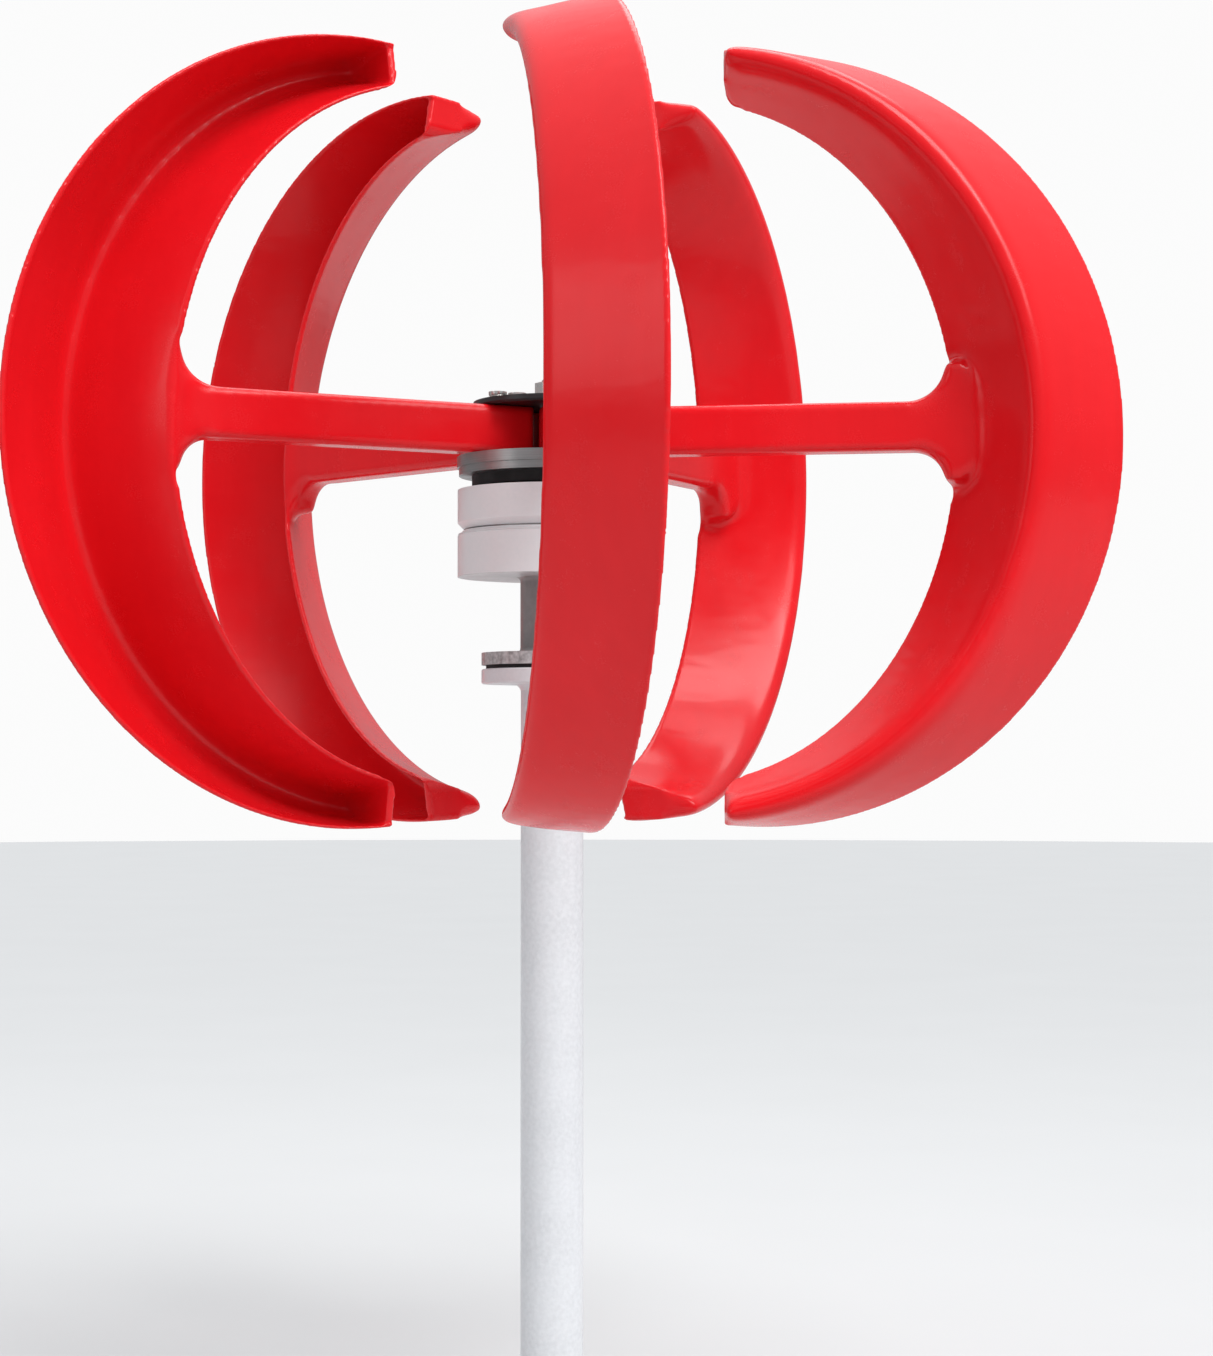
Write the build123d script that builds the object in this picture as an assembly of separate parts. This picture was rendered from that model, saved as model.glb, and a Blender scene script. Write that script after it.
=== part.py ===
from build123d import *
import math
import os

# A five-bladed vertical axis wind turbine on its mast. Millimetres, +Z up.
# The origin is at the centre of the mast's foot, and -Y is the front.

# Mast, its flange and the fastening to the generator.
MAST_OUTER_D = 48.3
MAST_WALL = 2.6
MAST_HEIGHT = 600.0  # foot to the flange's underside
FLANGE_D = 109.0
MAST_FLANGE_T = 11.5
MAST_TOP_RECESS = 1.5  # the tube stops this far below the flange's face
WELD_LEG = 5.0
WELD_HOLLOW = 0.4  # how far out the bead's hollow face reaches, as a share of its leg
GASKET_T = 3.0
GASKET_D = 102.0
NECK_FLANGE_T = 9.5
FLANGE_SCREWS = 4
FLANGE_SCREW_PCD = 80.0
FLANGE_SCREW_D = 8.0
FLANGE_SCREW_HEAD_D = 15.5
FLANGE_SCREW_HEAD_H = 4.4
FLANGE_SCREW_SOCKET_AF = 5.0
FLANGE_SCREW_SOCKET_H = 2.6
FLANGE_SCREW_ANGLE = 45.0
FLANGE_SCREW_SHORT = 1.0  # from the screw's end up from the mast flange's underside
FLANGE_CHAMFER = 1.0

# Generator housing, with the neck that stands on the flange.
NECK_OUTER_D = 49.0
NECK_WALL = 4.75
NECK_HEIGHT = 58.5
NECK_FILLET = 4.0
HOUSING_D = 146.0
HOUSING_WALL = 5.0
HOUSING_END_T = 8.0
LOWER_HOUSING_H = 35.5
UPPER_HOUSING_H = 31.5
HOUSING_TOP_CHAMFER = 8.5
HOUSING_BOTTOM_CHAMFER = 4.0
SPIGOT_H = 3.0
SPIGOT_T = 2.2
SEAM_SEAL_T = 0.6
SEAM_SEAL_INSET = 0.5
STATOR_LEDGE = 2.0
THROUGH_BOLTS = 6
THROUGH_BOLT_D = 4.0
THROUGH_BOLT_HEAD_D = 7.0
THROUGH_BOLT_HEAD_H = 3.0
THROUGH_BOLT_HEAD_SUNK = 0.5
THROUGH_BOLT_SOCKET_AF = 3.0
THROUGH_BOLT_SOCKET_H = 1.8
THROUGH_BOLT_END_GAP = 0.5
THROUGH_BOLT_INSET = 5.0  # from the cavity's wall
THROUGH_BOLT_GRIP = 6.0
THROUGH_BOLT_ANGLE = 10.0

# Ball bearings, both of the same size.
BEARING_BORE_D = 20.0
BEARING_OUTER_D = 47.0
BEARING_W = 14.0
BALL_D = 7.94
BALLS = 8
RACE_GROOVE = 1.12  # how deep a ball sits in each race
BALL_CLEARANCE = 0.05
CAGE_T = 2.2
CAGE_H = 10.4
CAGE_POCKET_CLEARANCE = 0.12
BOSS_WALL = 7.5
BEARING_LIP = 3.5
BEARING_LIP_T = 2.0
LOWER_BEARING_RAISE = 6.5  # room for the leads under the lower bearing
SEAL_T = 4.0
SEAL_RING_W = 5.0
CIRCLIP_T = 1.2
CIRCLIP_W = 3.4
CIRCLIP_DEPTH = 0.8
CIRCLIP_GAP = 3.0
WAVE_WASHER_T = 0.6

# Rotor shaft and what is clamped on it.
SHAFT_COLLAR_D = 30.0
CARRIER_SEAT_D = 25.0
THREAD_D = 16.0
THREAD_STANDOUT = 3.0
SPACER_D = 28.0
KEY_W = 6.0
KEY_H = 6.0
NUT_AF = 24.0
NUT_H = 13.0
NUT_TURNED_D = 26.88  # the nut's corners are turned off to this
SHAFT_WASHER_D = 30.0
SHAFT_WASHER_T = 2.5
SHAFT_TAIL = 3.0
SHAFT_END_CHAMFER = 1.0

# Hub plates, rain slinger and the bolts through the arms.
RUNNING_GAP = 2.5
SLINGER_D = 124.0
SLINGER_H = 8.5
SLINGER_WALL = 4.0
SLINGER_HUB_W = 12.0
HUB_PLATE_D = 147.0
HUB_PLATE_T = 14.5
HUB_STEP_H = 6.0
HUB_STEP_W = 1.5
TOP_PLATE_D = 122.0
TOP_PLATE_T = 5.0
TOP_PLATE_CHAMFER = 1.5
ARM_BOLT_RADII = (30.0, 46.5)
ARM_BOLT_D = 8.0
ARM_BOLT_HEAD_D = 14.0
ARM_BOLT_HEAD_H = 4.4
ARM_BOLT_HEAD_R = 3.0
ARM_BOLT_SOCKET_AF = 5.0
ARM_BOLT_SOCKET_H = 2.6
ARM_BOLT_SHORT = 0.5  # from the bolt's end up from the nut's underside
ARM_WASHER_D = 16.0
ARM_WASHER_T = 1.6
ARM_NUT_AF = 13.0
ARM_NUT_H = 8.0
ARM_NUT_SUNK = 0.5

# Blades, each one moulding with its arm. A blade's own frame has X radial, Y along
# the chord towards the open side, and Z up from the rotor's middle.
BLADES = 5
BLADE_WALL = 4.5
RIM_ROUNDING = 0.45  # how far the rounded rims stand out, as a share of the wall
REACH = 428.5  # axis to the outer rim at mid height
HALF_HEIGHT = 296.0  # mid height to the outer rim's top
RIM_TOP_RADIUS = 161.0  # where the outer rim is highest
RIM_CHORD = 70.0
RIM_SWEEP = 43.5
RIDGE_REACH_IN = 53.0
RIDGE_TOP_IN = 40.0
RIDGE_DROP = 12.0
RIDGE_CHORD = -8.0
RIDGE_SWEEP = 34.5
INNER_REACH_IN = 124.5
INNER_TOP_IN = 62.0
INNER_DROP = 33.0
INNER_CHORD = 58.0
INNER_SWEEP = 34.5
NOSE_HALF_MID = 3.5
NOSE_HALF_TIP = 14.0
NOSE_LEAD = 16.0
TIP_RADIUS = 137.5
TIP_SLANT = 12.0
TIP_CAP_T = 6.0
CAP_INSET = 1.0  # the tip caps start this far inside the wall's outer face
TIP_END_ANGLE = 103.0
BLADE_SECTIONS = 15

ARM_TURN = 8.2  # the arm's direction, turned from the blade's X towards its Y
ARM_INNER_END = 20.6
ARM_W = 28.0
ARM_H = 37.5
ARM_BOTTOM = -11.5  # below the rotor's middle
ARM_EDGE_R = 6.0
ARM_TOP_FILLET = 30.0
ARM_BOTTOM_FILLET = 24.0
ARM_RUN_IN = 34.0  # how far the arm runs on behind the web
ARM_FLARE_RUN_IN = 10.0  # the same for the flares above and below it
ARM_FLARE_INSET = 2.0  # the flares end this far inside the inner rim

# Generator core.
POLES = 12
TEETH = 18
STACK_H = 24.0
STATOR_YOKE_T = 8.0
TOOTH_W = 7.5
TOOTH_LENGTH = 14.5
AIR_GAP = 0.8
COIL_T = 3.2
COIL_OVERHANG = 6.0
COIL_EDGE_R = 3.0
COIL_CLEARANCE = 0.15
COIL_TIP_GAP = 1.2
MAGNET_T = 4.4
MAGNET_W = 19.0
MAGNET_H = 22.0
MAGNET_CROWN = 2.0  # block height left for the curved outer face
CARRIER_RIM_T = 4.5
CARRIER_WEB_T = 6.0
WIRE_HOLE_D = 7.0
WIRE_BUSH_BORE_D = 4.4
WIRE_BUSH_STANDOUT = 1.5
WIRE_HOLE_ROOF = 0.3  # metal left between the wire hole and the bearing's lip

# Clearances.
FIT = 0.05
HOLE_CLEARANCE = 0.5
SEAT_GAP = 0.3
CARRIER_GAP = 0.5
CORE_RAISE = 1.0  # the core's middle, above the middle of its chamber

# Levels, from the foot up.
MAST_FLANGE_Z = MAST_HEIGHT
GASKET_Z = MAST_FLANGE_Z + MAST_FLANGE_T
NECK_FLANGE_Z = GASKET_Z + GASKET_T
NECK_Z = NECK_FLANGE_Z + NECK_FLANGE_T
HOUSING_Z = NECK_Z + NECK_HEIGHT
SEAM_Z = HOUSING_Z + LOWER_HOUSING_H
HOUSING_TOP_Z = SEAM_Z + UPPER_HOUSING_H
SLINGER_Z = HOUSING_TOP_Z + RUNNING_GAP
HUB_PLATE_Z = SLINGER_Z + SLINGER_H
ARM_Z = HUB_PLATE_Z + HUB_PLATE_T
TOP_PLATE_Z = ARM_Z + ARM_H
ROTOR_MID_Z = ARM_Z - ARM_BOTTOM
FLOOR_Z = HOUSING_Z + HOUSING_END_T
CEILING_Z = HOUSING_TOP_Z - HOUSING_END_T
LOWER_BEARING_Z = FLOOR_Z + LOWER_BEARING_RAISE
UPPER_BEARING_Z = HOUSING_TOP_Z - SEAL_T - BEARING_LIP_T - BEARING_W
CORE_MID_Z = (FLOOR_Z + CEILING_Z) / 2 + CORE_RAISE
STACK_Z = CORE_MID_Z - STACK_H / 2
CARRIER_TOP_Z = UPPER_BEARING_Z - CARRIER_GAP
COLLAR_Z = LOWER_BEARING_Z + BEARING_W

# Radii.
CAVITY_R = HOUSING_D / 2 - HOUSING_WALL
STATOR_INNER_R = CAVITY_R - FIT - STATOR_YOKE_T - TOOTH_LENGTH
MAGNET_OUTER_R = STATOR_INNER_R - AIR_GAP
CARRIER_APOTHEM = MAGNET_OUTER_R - MAGNET_T
BEARING_BORE_R = BEARING_BORE_D / 2
BEARING_OUTER_R = BEARING_OUTER_D / 2
BALL_CIRCLE_R = (BEARING_BORE_R + BEARING_OUTER_R) / 2
OUTER_RACE_R = BALL_CIRCLE_R + BALL_D / 2 - RACE_GROOVE
INNER_RACE_R = BALL_CIRCLE_R - BALL_D / 2 + RACE_GROOVE
BOSS_R = BEARING_OUTER_R + BOSS_WALL
NECK_BORE_R = NECK_OUTER_D / 2 - NECK_WALL

UP = (Align.CENTER, Align.CENTER, Align.MIN)
parts = {}


def disc(radius, bottom, height):
    return Pos(0, 0, bottom) * Cylinder(radius, height, align=UP)


def ring(outer, inner, bottom, height):
    return disc(outer, bottom, height) - disc(inner, bottom, height)


def hexagon(across_flats, bottom, height):
    outline = RegularPolygon(across_flats / 2, 6, major_radius=False)
    return Pos(0, 0, bottom) * extrude(outline, height)


def spread(shape, count, start=0.0):
    """Copies of a shape around the axis, as a list of solids."""
    copies = []
    for index in range(count):
        turned = Rot(0, 0, start + index * 360.0 / count) * shape
        copies.extend(turned.solids())
    return copies


def group(solids):
    return Compound(children=list(solids))


def cut_all(body, tools):
    for tool in tools:
        body = body - tool
    return body


# ---------------------------------------------------------------- mast and flanges


def screw_hole_places():
    places = []
    for index in range(FLANGE_SCREWS):
        angle = FLANGE_SCREW_ANGLE + index * 360.0 / FLANGE_SCREWS
        places.append(Rot(0, 0, angle) * Pos(FLANGE_SCREW_PCD / 2, 0, 0))
    return places


def make_mast():
    bore_r = MAST_OUTER_D / 2 - MAST_WALL
    tube_top = GASKET_Z - MAST_TOP_RECESS
    parts["mast_tube"] = ring(MAST_OUTER_D / 2, bore_r, 0, tube_top)

    flange = ring(FLANGE_D / 2, MAST_OUTER_D / 2 + FIT, MAST_FLANGE_Z, MAST_FLANGE_T)
    flange = chamfer(circles_of(flange, FLANGE_D / 2), FLANGE_CHAMFER)
    for place in screw_hole_places():
        flange = flange - place * disc(FLANGE_SCREW_D / 2 + FIT, MAST_FLANGE_Z, MAST_FLANGE_T)
    parts["mast_flange"] = flange

    # The bead's outline is a triangle with a hollowed face.
    tube_r = MAST_OUTER_D / 2 + FIT
    low = (tube_r, MAST_FLANGE_Z - WELD_LEG)
    out = (tube_r + WELD_LEG, MAST_FLANGE_Z)
    hollow_leg = WELD_LEG * WELD_HOLLOW
    hollow = (tube_r + hollow_leg, MAST_FLANGE_Z - hollow_leg)
    with BuildSketch(Plane.XZ) as bead:
        with BuildLine():
            Line((tube_r, MAST_FLANGE_Z), low)
            ThreePointArc(low, hollow, out)
            Line(out, (tube_r, MAST_FLANGE_Z))
        make_face()
    parts["mast_weld"] = revolve(bead.sketch, Axis.Z)

    gasket = ring(GASKET_D / 2, NECK_BORE_R, GASKET_Z, GASKET_T)
    for place in screw_hole_places():
        gasket = gasket - place * disc(FLANGE_SCREW_D / 2 + HOLE_CLEARANCE, GASKET_Z, GASKET_T)
    parts["flange_gasket"] = gasket


def flange_screw():
    """One countersunk screw, its head flush with the neck flange."""
    head_bottom = NECK_Z - FLANGE_SCREW_HEAD_H
    shank_r = FLANGE_SCREW_D / 2
    end = MAST_FLANGE_Z + FLANGE_SCREW_SHORT
    shank = disc(shank_r, end, head_bottom - end)
    cone = Cone(shank_r, FLANGE_SCREW_HEAD_D / 2, FLANGE_SCREW_HEAD_H, align=UP)
    socket_z = NECK_Z - FLANGE_SCREW_SOCKET_H
    socket = hexagon(FLANGE_SCREW_SOCKET_AF, socket_z, FLANGE_SCREW_SOCKET_H)
    return shank + Pos(0, 0, head_bottom) * cone - socket


def make_flange_screws():
    screw = Pos(FLANGE_SCREW_PCD / 2, 0, 0) * flange_screw()
    parts["flange_screws"] = group(spread(screw, FLANGE_SCREWS, FLANGE_SCREW_ANGLE))


# ---------------------------------------------------------------- generator housing


def circles_of(body, radius):
    edges = body.edges().filter_by(GeomType.CIRCLE)
    return [edge for edge in edges if abs(edge.radius - radius) < 0.01]


def through_bolt_place():
    return Pos(CAVITY_R - THROUGH_BOLT_INSET, 0, 0)


def through_bolt_seat():
    return HOUSING_TOP_Z - THROUGH_BOLT_HEAD_SUNK - THROUGH_BOLT_HEAD_H


def through_bolt_holes(bottom, height, clearance):
    hole = through_bolt_place() * disc(THROUGH_BOLT_D / 2 + clearance, bottom, height)
    return spread(hole, THROUGH_BOLTS, THROUGH_BOLT_ANGLE)


def wire_hole_level():
    return LOWER_BEARING_Z - BEARING_LIP_T - WIRE_HOLE_D / 2 - WIRE_HOLE_ROOF


def wire_hole():
    """A radial hole under the lower bearing, from the coils' chamber to the neck."""
    hole = Cylinder(WIRE_HOLE_D / 2, BOSS_R + BOSS_WALL, align=UP)
    return Pos(0, 0, wire_hole_level()) * Rot(0, 90, 0) * hole


def make_lower_housing():
    body = disc(HOUSING_D / 2, HOUSING_Z, LOWER_HOUSING_H)
    body = chamfer(circles_of(body, HOUSING_D / 2)[:1], HOUSING_BOTTOM_CHAMFER)
    body = body + disc(NECK_OUTER_D / 2, NECK_FLANGE_Z, HOUSING_Z - NECK_FLANGE_Z)
    body = body + disc(FLANGE_D / 2, NECK_FLANGE_Z, NECK_FLANGE_T)
    body = fillet(circles_of(body, NECK_OUTER_D / 2), NECK_FILLET)
    body = body - disc(CAVITY_R, STACK_Z, LOWER_HOUSING_H)
    body = body - disc(CAVITY_R - STATOR_LEDGE, FLOOR_Z, LOWER_HOUSING_H)
    body = body + disc(BOSS_R, FLOOR_Z - 1.0, LOWER_BEARING_Z + BEARING_W - FLOOR_Z)
    washer_z = LOWER_BEARING_Z - WAVE_WASHER_T
    body = body - disc(BEARING_OUTER_R + FIT, washer_z, 2 * BEARING_W)
    body = body - disc(BEARING_OUTER_R - BEARING_LIP, FLOOR_Z, BEARING_W)
    neck_top = washer_z - BEARING_LIP_T
    body = body - disc(NECK_BORE_R, NECK_FLANGE_Z, neck_top - NECK_FLANGE_Z)

    # The step on which the upper housing is centred.
    step_r = CAVITY_R + SPIGOT_T
    body = body - ring(HOUSING_D / 2 + 1, step_r, SEAM_Z - SPIGOT_H, 2 * SPIGOT_H)
    body = body - wire_hole()
    body = cut_all(body, through_bolt_holes(FLOOR_Z - THROUGH_BOLT_GRIP, STACK_H, FIT))
    sink_z = NECK_Z - FLANGE_SCREW_HEAD_H
    hole_r = FLANGE_SCREW_D / 2
    sink_r = FLANGE_SCREW_HEAD_D / 2 + FIT
    sink = Cone(hole_r + FIT, sink_r, FLANGE_SCREW_HEAD_H, align=UP)
    for place in screw_hole_places():
        body = body - place * disc(hole_r + HOLE_CLEARANCE, NECK_FLANGE_Z, NECK_FLANGE_T)
        body = body - place * Pos(0, 0, sink_z) * sink
    parts["generator_lower_housing"] = body


def make_upper_housing():
    skirt_z = SEAM_Z - SPIGOT_H + SEAM_SEAL_T
    body = disc(HOUSING_D / 2, skirt_z, HOUSING_TOP_Z - skirt_z)
    body = chamfer(circles_of(body, HOUSING_D / 2)[-1:], HOUSING_TOP_CHAMFER)
    body = body - disc(CAVITY_R - STATOR_LEDGE, SEAM_Z, CEILING_Z - SEAM_Z)
    body = body - disc(CAVITY_R, SEAM_Z, STACK_Z + STACK_H - SEAM_Z)
    body = body - disc(CAVITY_R + SPIGOT_T + FIT, skirt_z, SEAM_Z - skirt_z)
    body = body + disc(BOSS_R, UPPER_BEARING_Z + 1.0, CEILING_Z - UPPER_BEARING_Z)
    body = body - disc(BEARING_OUTER_R + FIT, UPPER_BEARING_Z, BEARING_W)
    body = body - disc(BEARING_OUTER_R - BEARING_LIP, UPPER_BEARING_Z, BEARING_W + BEARING_LIP_T)
    body = body - disc(SPACER_D / 2 + SEAL_RING_W, HOUSING_TOP_Z - SEAL_T, SEAL_T)
    body = cut_all(body, through_bolt_holes(CEILING_Z, HOUSING_END_T, HOLE_CLEARANCE / 2))
    head_r = THROUGH_BOLT_HEAD_D / 2 + HOLE_CLEARANCE
    seat = through_bolt_place() * disc(head_r, through_bolt_seat(), HOUSING_END_T)
    seats = spread(seat, THROUGH_BOLTS, THROUGH_BOLT_ANGLE)
    parts["generator_upper_housing"] = cut_all(body, seats)


def make_housing_fittings():
    seal_z = SEAM_Z - SPIGOT_H
    seal_outer = HOUSING_D / 2 - SEAM_SEAL_INSET
    seal_inner = CAVITY_R + SPIGOT_T + FIT
    parts["housing_seam_seal"] = ring(seal_outer, seal_inner, seal_z, SEAM_SEAL_T)

    seat_z = through_bolt_seat()
    foot_z = FLOOR_Z - THROUGH_BOLT_GRIP + THROUGH_BOLT_END_GAP
    bolt = disc(THROUGH_BOLT_D / 2, foot_z, seat_z - foot_z)
    bolt = bolt + disc(THROUGH_BOLT_HEAD_D / 2, seat_z, THROUGH_BOLT_HEAD_H)
    socket_z = seat_z + THROUGH_BOLT_HEAD_H - THROUGH_BOLT_SOCKET_H
    bolt = bolt - hexagon(THROUGH_BOLT_SOCKET_AF, socket_z, THROUGH_BOLT_SOCKET_H)
    parts["housing_through_bolts"] = group(
        spread(through_bolt_place() * bolt, THROUGH_BOLTS, THROUGH_BOLT_ANGLE)
    )

    start = NECK_BORE_R - WIRE_BUSH_STANDOUT
    length = BOSS_R + WIRE_BUSH_STANDOUT - start
    bush = ring(WIRE_HOLE_D / 2, WIRE_BUSH_BORE_D / 2, 0, length)
    parts["wire_bush"] = Pos(start, 0, wire_hole_level()) * Rot(0, 90, 0) * bush


# ---------------------------------------------------------------- generator core


def make_stator():
    yoke_outer = CAVITY_R - FIT
    yoke_inner = yoke_outer - STATOR_YOKE_T
    body = ring(yoke_outer, yoke_inner, STACK_Z, STACK_H)
    length = yoke_inner + STATOR_YOKE_T / 2 - STATOR_INNER_R
    middle = STATOR_INNER_R + length / 2
    tooth = Pos(middle, 0, STACK_Z + STACK_H / 2) * Box(length, TOOTH_W, STACK_H)
    for piece in spread(tooth, TEETH):
        body = body + piece
    body = body - disc(STATOR_INNER_R, STACK_Z, STACK_H)
    body = cut_all(body, through_bolt_holes(STACK_Z, STACK_H, HOLE_CLEARANCE / 2))
    parts["stator_core"] = body

    hole_w = TOOTH_W + 2 * COIL_CLEARANCE
    hole_h = STACK_H + 2 * COIL_CLEARANCE
    coil_w = hole_w + 2 * COIL_T
    coil_inner = STATOR_INNER_R + COIL_TIP_GAP
    coil_outer = math.sqrt(yoke_inner**2 - (coil_w / 2) ** 2) - COIL_CLEARANCE
    coil_length = coil_outer - coil_inner
    coil = Box(coil_length, coil_w, STACK_H + 2 * COIL_OVERHANG)
    coil = fillet(coil.edges().filter_by(Axis.X), COIL_EDGE_R)
    coil = coil - Box(coil_length, hole_w, hole_h)
    coil = Pos(coil_inner + coil_length / 2, 0, STACK_Z + STACK_H / 2) * coil
    parts["stator_windings"] = group(spread(coil, TEETH))


def make_magnet_rotor():
    rim_z = STACK_Z
    rim_h = CARRIER_TOP_Z - rim_z
    outline = RegularPolygon(CARRIER_APOTHEM, POLES, major_radius=False, rotation=180.0 / POLES)
    body = Pos(0, 0, rim_z) * extrude(outline, rim_h)
    body = body - disc(CARRIER_APOTHEM - CARRIER_RIM_T, rim_z, rim_h - CARRIER_WEB_T)
    body = body - disc(CARRIER_SEAT_D / 2 + FIT, rim_z, rim_h)
    body = body - key_slot(CARRIER_SEAT_D / 2, rim_z, rim_h)
    parts["magnet_carrier"] = body

    block_l = MAGNET_OUTER_R + MAGNET_CROWN - CARRIER_APOTHEM
    middle = CARRIER_APOTHEM + block_l / 2
    block = Pos(middle, 0, STACK_Z + STACK_H / 2) * Box(block_l, MAGNET_W, MAGNET_H)
    magnet = block & disc(MAGNET_OUTER_R, STACK_Z, STACK_H)
    parts["rotor_magnets"] = group(spread(magnet, POLES))


# ---------------------------------------------------------------- bearings


def make_bearing(name, bottom):
    middle = bottom + BEARING_W / 2
    groove = Pos(0, 0, middle) * Torus(BALL_CIRCLE_R, BALL_D / 2 + BALL_CLEARANCE)
    outer = ring(BEARING_OUTER_R, OUTER_RACE_R, bottom, BEARING_W) - groove
    inner = ring(INNER_RACE_R, BEARING_BORE_R, bottom, BEARING_W) - groove
    parts[name + "_outer_race"] = outer
    parts[name + "_inner_race"] = inner

    ball = Pos(BALL_CIRCLE_R, 0, middle) * Sphere(BALL_D / 2)
    parts[name + "_balls"] = group(spread(ball, BALLS))
    cage_z = middle - CAGE_H / 2
    cage = ring(BALL_CIRCLE_R + CAGE_T / 2, BALL_CIRCLE_R - CAGE_T / 2, cage_z, CAGE_H)
    drill = Rot(0, 90, 0) * Cylinder(BALL_D / 2 + CAGE_POCKET_CLEARANCE, 4 * CAGE_T)
    pocket = Pos(BALL_CIRCLE_R, 0, middle) * drill
    parts[name + "_cage"] = cut_all(cage, spread(pocket, BALLS))


def make_bearing_fittings():
    lip_r = BEARING_OUTER_R - BEARING_LIP
    washer_z = LOWER_BEARING_Z - WAVE_WASHER_T
    parts["preload_washer"] = ring(BEARING_OUTER_R - FIT, lip_r, washer_z, WAVE_WASHER_T)

    groove_r = BEARING_BORE_R - CIRCLIP_DEPTH
    clip_z = LOWER_BEARING_Z - CIRCLIP_T
    clip = ring(groove_r + CIRCLIP_W, groove_r, clip_z, CIRCLIP_T)
    gap = Box(2 * CIRCLIP_W, CIRCLIP_GAP, 2 * CIRCLIP_T)
    gap = Pos(groove_r + CIRCLIP_W / 2, 0, clip_z + CIRCLIP_T / 2) * gap
    parts["shaft_circlip"] = clip - gap

    seal_z = HOUSING_TOP_Z - SEAL_T
    seal_outer = SPACER_D / 2 + SEAL_RING_W
    parts["shaft_seal"] = ring(seal_outer, SPACER_D / 2 + FIT, seal_z, SEAL_T)


# ---------------------------------------------------------------- shaft and hub


def key_block(seat_r, bottom, length, clearance=0.0):
    size = KEY_W + 2 * clearance
    return Pos(seat_r, 0, bottom + length / 2) * Box(KEY_H + 2 * clearance, size, length)


def key_slot(seat_r, bottom, length):
    return key_block(seat_r, bottom, length, FIT)


def nut_z():
    return TOP_PLATE_Z + TOP_PLATE_T + SHAFT_WASHER_T


def make_shaft():
    foot_z = LOWER_BEARING_Z - CIRCLIP_T - SHAFT_TAIL
    top_z = nut_z() + NUT_H + THREAD_STANDOUT
    seat_top = TOP_PLATE_Z - SEAT_GAP
    body = disc(BEARING_BORE_R, foot_z, seat_top - foot_z)
    body = body + disc(SHAFT_COLLAR_D / 2, COLLAR_Z, CARRIER_TOP_Z - CARRIER_WEB_T - COLLAR_Z)
    body = body + disc(CARRIER_SEAT_D / 2, COLLAR_Z, UPPER_BEARING_Z - COLLAR_Z)
    body = body + disc(THREAD_D / 2, seat_top, top_z - seat_top)
    top_edge = body.edges().filter_by(GeomType.CIRCLE).sort_by(Axis.Z)[-1:]
    body = chamfer(top_edge, SHAFT_END_CHAMFER)
    groove_r = BEARING_BORE_R - CIRCLIP_DEPTH
    groove_z = LOWER_BEARING_Z - CIRCLIP_T
    body = body - ring(BEARING_BORE_R + FIT, groove_r, groove_z, CIRCLIP_T)
    body = body - key_slot(BEARING_BORE_R, HUB_PLATE_Z, HUB_PLATE_T)
    body = body - key_slot(CARRIER_SEAT_D / 2, CARRIER_TOP_Z - CARRIER_WEB_T, CARRIER_WEB_T)
    parts["rotor_shaft"] = body
    parts["hub_key"] = key_block(BEARING_BORE_R, HUB_PLATE_Z, HUB_PLATE_T)
    web_z = CARRIER_TOP_Z - CARRIER_WEB_T
    parts["carrier_key"] = key_block(CARRIER_SEAT_D / 2, web_z, CARRIER_WEB_T)

    spacer_z = UPPER_BEARING_Z + BEARING_W
    spacer_h = HUB_PLATE_Z - spacer_z
    parts["hub_spacer"] = ring(SPACER_D / 2, BEARING_BORE_R + FIT, spacer_z, spacer_h)
    washer_z = TOP_PLATE_Z + TOP_PLATE_T
    washer_bore = THREAD_D / 2 + HOLE_CLEARANCE
    parts["shaft_washer"] = ring(SHAFT_WASHER_D / 2, washer_bore, washer_z, SHAFT_WASHER_T)
    nut = hexagon(NUT_AF, nut_z(), NUT_H) & disc(NUT_TURNED_D / 2, nut_z(), NUT_H)
    parts["shaft_nut"] = nut - disc(THREAD_D / 2 + FIT, nut_z(), NUT_H)


def arm_bolt_places():
    """Where the bolts stand: two along each arm's centre line."""
    places = []
    for blade in range(BLADES):
        for radius in ARM_BOLT_RADII:
            places.append(Rot(0, 0, arm_angle(blade)) * Pos(radius, 0, 0))
    return places


def blade_angle(blade):
    return -90.0 - blade * 360.0 / BLADES


def arm_angle(blade):
    return blade_angle(blade) + ARM_TURN


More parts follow.
